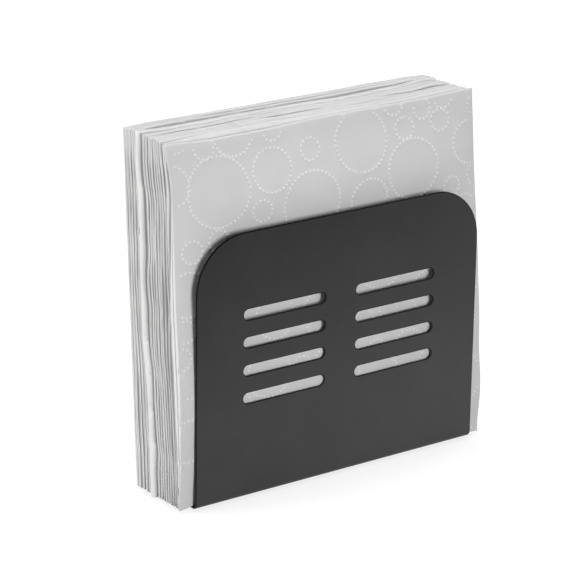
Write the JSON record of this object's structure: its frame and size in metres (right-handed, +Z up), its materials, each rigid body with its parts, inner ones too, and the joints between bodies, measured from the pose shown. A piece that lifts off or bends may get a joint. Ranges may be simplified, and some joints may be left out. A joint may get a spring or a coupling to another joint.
{
  "type": "napkin holder",
  "caption": "Upright table napkin holder: a U of bent black coated sheet steel with slotted walls, filled with folded white paper napkins that lift out.",
  "frame": {"origin": "on the table, under the middle of the base", "axes": "+X along the width, to the right seen from the front; -Y towards the front wall; +Z up"},
  "size_m": [0.1666, 0.0483, 0.1672],
  "materials": {
    "coated_steel": "satin black powder coat with a fine grain",
    "pad_rubber": "matte",
    "napkin_tissue": "matte embossed tissue paper"
  },
  "bodies": {
    "holder": {"holder_sheet": "coated_steel", "pad_front_left": "pad_rubber", "pad_front_right": "pad_rubber", "pad_back_left": "pad_rubber", "pad_back_right": "pad_rubber"},
    "napkin_01": {"napkin_01": "napkin_tissue"},
    "napkin_02": {"napkin_02": "napkin_tissue"},
    "napkin_03": {"napkin_03": "napkin_tissue"},
    "napkin_04": {"napkin_04": "napkin_tissue"},
    "napkin_05": {"napkin_05": "napkin_tissue"},
    "napkin_06": {"napkin_06": "napkin_tissue"},
    "napkin_07": {"napkin_07": "napkin_tissue"},
    "napkin_08": {"napkin_08": "napkin_tissue"},
    "napkin_09": {"napkin_09": "napkin_tissue"},
    "napkin_10": {"napkin_10": "napkin_tissue"},
    "napkin_11": {"napkin_11": "napkin_tissue"},
    "napkin_12": {"napkin_12": "napkin_tissue"},
    "napkin_13": {"napkin_13": "napkin_tissue"},
    "napkin_14": {"napkin_14": "napkin_tissue"},
    "napkin_15": {"napkin_15": "napkin_tissue"},
    "napkin_16": {"napkin_16": "napkin_tissue"}
  },
  "joints": [
    {"name": "napkin_01_lift", "type": "slide", "parent": "holder", "child": "napkin_01", "axis": [0, 0.0379, 0.9993], "range_m": [0, 0.17]},
    {"name": "napkin_02_lift", "type": "slide", "parent": "holder", "child": "napkin_02", "axis": [0, 0.0379, 0.9993], "range_m": [0, 0.17]},
    {"name": "napkin_03_lift", "type": "slide", "parent": "holder", "child": "napkin_03", "axis": [0, 0.0379, 0.9993], "range_m": [0, 0.17]},
    {"name": "napkin_04_lift", "type": "slide", "parent": "holder", "child": "napkin_04", "axis": [0, 0.0379, 0.9993], "range_m": [0, 0.17]},
    {"name": "napkin_05_lift", "type": "slide", "parent": "holder", "child": "napkin_05", "axis": [0, 0.0379, 0.9993], "range_m": [0, 0.17]},
    {"name": "napkin_06_lift", "type": "slide", "parent": "holder", "child": "napkin_06", "axis": [0, 0.0379, 0.9993], "range_m": [0, 0.17]},
    {"name": "napkin_07_lift", "type": "slide", "parent": "holder", "child": "napkin_07", "axis": [0, 0.0379, 0.9993], "range_m": [0, 0.17]},
    {"name": "napkin_08_lift", "type": "slide", "parent": "holder", "child": "napkin_08", "axis": [0, 0.0379, 0.9993], "range_m": [0, 0.17]},
    {"name": "napkin_09_lift", "type": "slide", "parent": "holder", "child": "napkin_09", "axis": [0, 0.0379, 0.9993], "range_m": [0, 0.17]},
    {"name": "napkin_10_lift", "type": "slide", "parent": "holder", "child": "napkin_10", "axis": [0, 0.0379, 0.9993], "range_m": [0, 0.17]},
    {"name": "napkin_11_lift", "type": "slide", "parent": "holder", "child": "napkin_11", "axis": [0, 0.0379, 0.9993], "range_m": [0, 0.17]},
    {"name": "napkin_12_lift", "type": "slide", "parent": "holder", "child": "napkin_12", "axis": [0, 0.0379, 0.9993], "range_m": [0, 0.17]},
    {"name": "napkin_13_lift", "type": "slide", "parent": "holder", "child": "napkin_13", "axis": [0, 0.0379, 0.9993], "range_m": [0, 0.17]},
    {"name": "napkin_14_lift", "type": "slide", "parent": "holder", "child": "napkin_14", "axis": [0, 0.0379, 0.9993], "range_m": [0, 0.17]},
    {"name": "napkin_15_lift", "type": "slide", "parent": "holder", "child": "napkin_15", "axis": [0, 0.0379, 0.9993], "range_m": [0, 0.17]},
    {"name": "napkin_16_lift", "type": "slide", "parent": "holder", "child": "napkin_16", "axis": [0, 0.0379, 0.9993], "range_m": [0, 0.17]}
  ]
}
